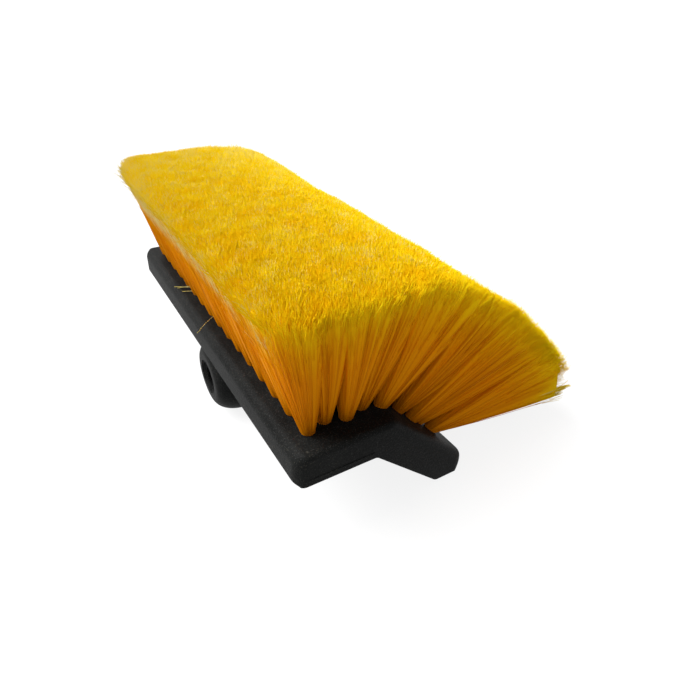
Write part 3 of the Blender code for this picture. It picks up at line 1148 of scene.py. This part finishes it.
def rowTipHairs(row, random):
    count = tipHairs["inEdgeTuft"] if row in (0, lastRow()) else tipHairs["inTuft"]
    tuft = np.repeat(np.arange(tufts["inRow"]), count)
    a, b = spiralDisc(count, tufts["inRow"], random)
    path, tone, fleck = hairPaths(row, tuft, a, b, tipHairs["loose"], random)
    root, _, tip = path
    start = random.uniform(*tipHairs["start"], len(a))
    begin, _, end = pathPart(path, start[:, None])
    along = tip - root
    across = unitRows(np.stack([along[:, 2], np.zeros(len(a)), -along[:, 0]], 1))
    flock = tipHairs["flocked"] * field("flocks", end) + random.normal(0, tipHairs["unruly"], len(a))
    end = end + across * (flock * tipHairs["sweep"])[:, None]
    end = end + acrossPath(begin, end, random) * tipHairs["curl"]
    tone = tone + random.normal(tipHairs["toneRise"], tipHairs["toneSpread"], len(tone))
    tone = tone + tipHairs["fleckTone"] * fleck
    fromNearEnd = unit(tip[:, 1] / block["length"] + 0.5)
    tone = np.minimum(tone, tint["sideLimit"] + tipHairs["endTonePull"] * fromNearEnd)
    bent = (begin, (begin + end) / 2.0, end)
    return [tubes(bent, tipHairs["radius"], tipHairs["steps"], start, 1.0, tone, tipHairs["taper"])]


# Loose split hairs on the outside of the head, from past the middle of the bristles up

sideHairs = {
    "inTuft": 210,
    "hollow": 0.86,
    "radius": 0.12 * mm,
    "taper": 0.4,
    "steps": 2,
    "start": (0.50, 0.84),
    "reach": (0.3, 1.0),
    "bow": 0.7 * mm,
    "splay": 1.3 * mm,
    "toneRise": 0.10,
    "toneSpread": 0.14,
}


def rowSideHairs(row, random):
    outer = outerTufts(row)
    a, b = spiralDisc(sideHairs["inTuft"], len(outer), random, sideHairs["hollow"])
    path, tone, _ = hairPaths(row, np.repeat(outer, sideHairs["inTuft"]), a, b, 1.0, random)
    start = random.uniform(*sideHairs["start"], len(a))
    upper = pathPart(path, start[:, None])
    begin, _, end = upper
    reach = random.uniform(*sideHairs["reach"], len(a))
    middle = onPath(upper, reach[:, None] * 0.5) + acrossPath(begin, end, random) * sideHairs["bow"]
    short = onPath(upper, reach[:, None]) + acrossPath(begin, end, random) * sideHairs["splay"]
    tone = tone + random.normal(sideHairs["toneRise"], sideHairs["toneSpread"], len(tone))
    tone = np.minimum(tone, tint["sideLimit"]) + noseSidePaleAndLitTone(row, a)
    stop = start + (1.0 - start) * reach
    bent = (begin, middle, short)
    return [tubes(bent, sideHairs["radius"], sideHairs["steps"], start, stop, tone, sideHairs["taper"])]


# Stray bristles of the first row that lie across the block, with their paths in millimetres

strays = {
    "radius": 0.18 * mm,
    "taper": 0.3,
    "steps": 5,
    "along": (0.78, 0.95),
    "tone": 1.0,
    "paths": (
        ((-24.0, 38.5, 18.0), (-32.0, 41.0, 19.5), (-37.2, 52.5, 15.9)),
        ((-24.5, 43.0, 18.0), (-31.5, 42.5, 19.0), (-36.2, 49.5, 16.0)),
        ((-25.0, 34.5, 18.0), (-31.0, 36.0, 18.5), (-35.0, 42.5, 16.4)),
        ((-26.0, 1.5, 18.2), (-34.5, -5.0, 19.2), (-42.4, -11.2, 16.2)),
        ((-27.5, -38.0, 19.5), (-30.6, -50.0, 17.6), (-27.6, -60.0, 17.2)),
        ((-28.0, -52.0, 18.6), (-30.6, -63.0, 17.8), (-28.0, -74.0, 18.8)),
    ),
}


def strayBristles():
    path = [np.array(points) * mm for points in zip(*strays["paths"])]
    tone = np.full(len(strays["paths"]), strays["tone"])
    return [tubes(path, strays["radius"], strays["steps"], *strays["along"], tone, strays["taper"])]


# Wisps that hang below the trimmed foot edge at the near end, with their tips in millimetres

wisps = {
    "hairs": 80,
    "radius": 0.16 * mm,
    "taper": 0.35,
    "steps": 6,
    "spread": 1.0 * mm,
    "acrossSpread": 2.0,
    "slant": 0.6,
    "sag": 1.0 * mm,
    "reach": (0.86, 1.01),
    "toneRise": 0.30,
    "toneSpread": 0.16,
    "tips": (
        (120.6, -130.5, -3.4),
        (117.0, -129.5, -7.0),
        (111.0, -128.0, -8.4),
        (102.0, -126.5, -6.2),
    ),
}


def footWisps(row, random):
    parts = []
    for tip in wisps["tips"]:
        a, b = spiralDisc(wisps["hairs"], 1, random)
        path, tone, _ = hairPaths(row, np.zeros(len(a), int), a, b, 0.0, random)
        root = path[0]
        spread = np.stack([wisps["acrossSpread"] * a, b, b - wisps["slant"] * a], 1) * wisps["spread"]
        end = root + (np.array(tip) * mm + spread - root) * random.uniform(*wisps["reach"], (len(a), 1))
        bend = (root + end) / 2.0 - np.array([0.0, 0.0, wisps["sag"]])
        tone = tone + random.normal(wisps["toneRise"], wisps["toneSpread"], len(tone))
        hanging = (root, bend, end)
        parts.append(tubes(hanging, wisps["radius"], wisps["steps"], 0.0, 1.0, tone, wisps["taper"]))
    return parts


def buildTuftRow(row, node, bristle):
    random = np.random.default_rng(tufts["seed"] + row)
    parts = rowCores(row, random) + rowFilaments(row, random)
    parts += rowTipHairs(row, random) + rowSideHairs(row, random)
    if row == 0:
        parts += strayBristles()
    if row == lastRow():
        parts += footWisps(row, random)
    addBristles(node.replace("_tuft_row", "Bristles").replace("_", ""), node, parts, bristle)


def addBristles(name, node, parts, bristle):
    points = np.concatenate([part[0] for part in parts])
    offsets = np.cumsum([0] + [len(part[0]) for part in parts[:-1]])
    faces = np.concatenate([part[1] + offset for part, offset in zip(parts, offsets)])
    mesh = meshFromArrays(name, toWorld(points), faces)
    for attribute, index in (("along", 2), ("tone", 3)):
        values = np.concatenate([part[index] for part in parts]).clip(0.0, 1.0)
        mesh.attributes.new(attribute, "FLOAT", "POINT")
        mesh.attributes[attribute].data.foreach_set("value", values.astype(np.float32))
    mesh.shade_smooth()
    mesh.materials.append(bristle)
    piece = addObject(name, mesh)
    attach(piece, "root")
    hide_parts(node)


# Studio

studio = {
    "lens": 27.377,
    "sensor": 36.0,
    "clipStart": 0.01,
    "heading": math.radians(31.2956),
    "dip": math.radians(32.8244),
    "roll": math.radians(0.667),
    "place": (-100.19 * mm, -266.84 * mm, 166.69 * mm),
    "ambient": 0.46,
    "keyStrength": 5.3,
    "keyWidth": math.radians(50.0),
    "keyFrom": (-0.48, 0.55, 1.30),
}


def addCamera():
    heading, dip, roll = studio["heading"], studio["dip"], studio["roll"]
    forward = Vector((math.sin(heading) * math.cos(dip), math.cos(heading) * math.cos(dip), -math.sin(dip)))
    right = Vector((math.cos(heading), -math.sin(heading), 0.0))
    up = right.cross(forward)
    rolledRight = right * math.cos(roll) + up * math.sin(roll)
    rolledUp = up * math.cos(roll) - right * math.sin(roll)
    axes = Matrix((rolledRight, rolledUp, -forward)).transposed().to_4x4()
    data = bpy.data.cameras.new("studioCamera")
    data.lens = studio["lens"]
    data.sensor_width = studio["sensor"]
    data.clip_start = studio["clipStart"]
    camera = addObject("studioCamera", data)
    camera.matrix_world = layDown() @ Matrix.Translation(studio["place"]) @ axes
    bpy.context.scene.camera = camera


def addKeyLight():
    # a broad far light from above, behind and a little to the left
    data = bpy.data.lights.new("keyLight", "SUN")
    data.energy = studio["keyStrength"]
    data.angle = studio["keyWidth"]
    light = addObject("keyLight", data)
    light.rotation_euler = (-Vector(studio["keyFrom"])).to_track_quat("-Z", "Y").to_euler()


def seenDirectly(graph):
    # one where the camera, or a reflection or a clear material, looks at it
    camera = graph.node("LightPath", out=0)
    glossy = graph.node("LightPath", out=3)
    clear = graph.node("LightPath", out=6)
    either = graph.node("Math", {"operation": "MAXIMUM"}, i0=camera, i1=glossy)
    return graph.node("Math", {"operation": "MAXIMUM"}, i0=either, i1=clear)


def addWorld():
    # white where it is seen, and the ambient strength as light on the head
    world = bpy.data.worlds.new("studioWorld")
    bpy.context.scene.world = world
    world.use_nodes = True
    graph = Graph(world.node_tree)
    background = world.node_tree.nodes["Background"]
    strength = seenDirectly(graph) * (1.0 - studio["ambient"]) + studio["ambient"]
    plug(graph.tree, background.inputs["Strength"], strength)
    plug(graph.tree, background.inputs["Color"], (1.0, 1.0, 1.0, 1.0))


# The floor glows white where it is seen, with enough of its lit surface left to hold the shadow

floor = {
    "reach": 80.0,
    "below": 0.4 * mm,
    "shade": (0.3, 0.3, 0.3, 1.0),
    "seenShade": (0.9, 0.9, 0.9, 1.0),
    "roughness": 0.9,
    "glow": 1.05,
    "glowShare": 0.82,
}


def paleFloor():
    finish, graph, shader = newFinish("paleFloor")
    plug(graph.tree, shader.inputs["Roughness"], floor["roughness"])
    plug(graph.tree, shader.inputs["Specular IOR Level"], 0.0)
    seen = seenDirectly(graph)
    shade = graph.blend(seen, floor["shade"], floor["seenShade"])
    plug(graph.tree, shader.inputs["Base Color"], shade)
    glow = graph.node("Emission", Color=(1.0, 1.0, 1.0, 1.0), Strength=floor["glow"])
    lit = Wire(graph.tree, shader.outputs[0])
    mixed = graph.node("MixShader", i0=seen * floor["glowShare"], i1=lit, i2=glow)
    output = finish.node_tree.nodes["Material Output"]
    plug(graph.tree, output.inputs["Surface"], mixed)
    return finish


def addFloor():
    reach = floor["reach"]
    corners = [(-reach, -reach, 0), (reach, -reach, 0), (reach, reach, 0), (-reach, reach, 0)]
    mesh = bpy.data.meshes.new("studioFloor")
    mesh.from_pydata(corners, [], [(0, 1, 2, 3)])
    mesh.materials.append(paleFloor())
    made = addObject("studioFloor", mesh)
    made.location = (0.0, 0.0, -floor["below"])


def addStudio():
    bpy.context.scene.view_settings.view_transform = "Standard"
    addCamera()
    addWorld()
    addFloor()
    addKeyLight()


def main():
    print("finishes")
    plastic = blackPlastic()
    bristle = yellowBristle()
    print("block and socket")
    buildBlock(plastic)
    for row, (node, _, _) in enumerate(rowPlaces()):
        print("bristles of", node)
        buildTuftRow(row, node, bristle)
    print("studio")
    addStudio()


main()
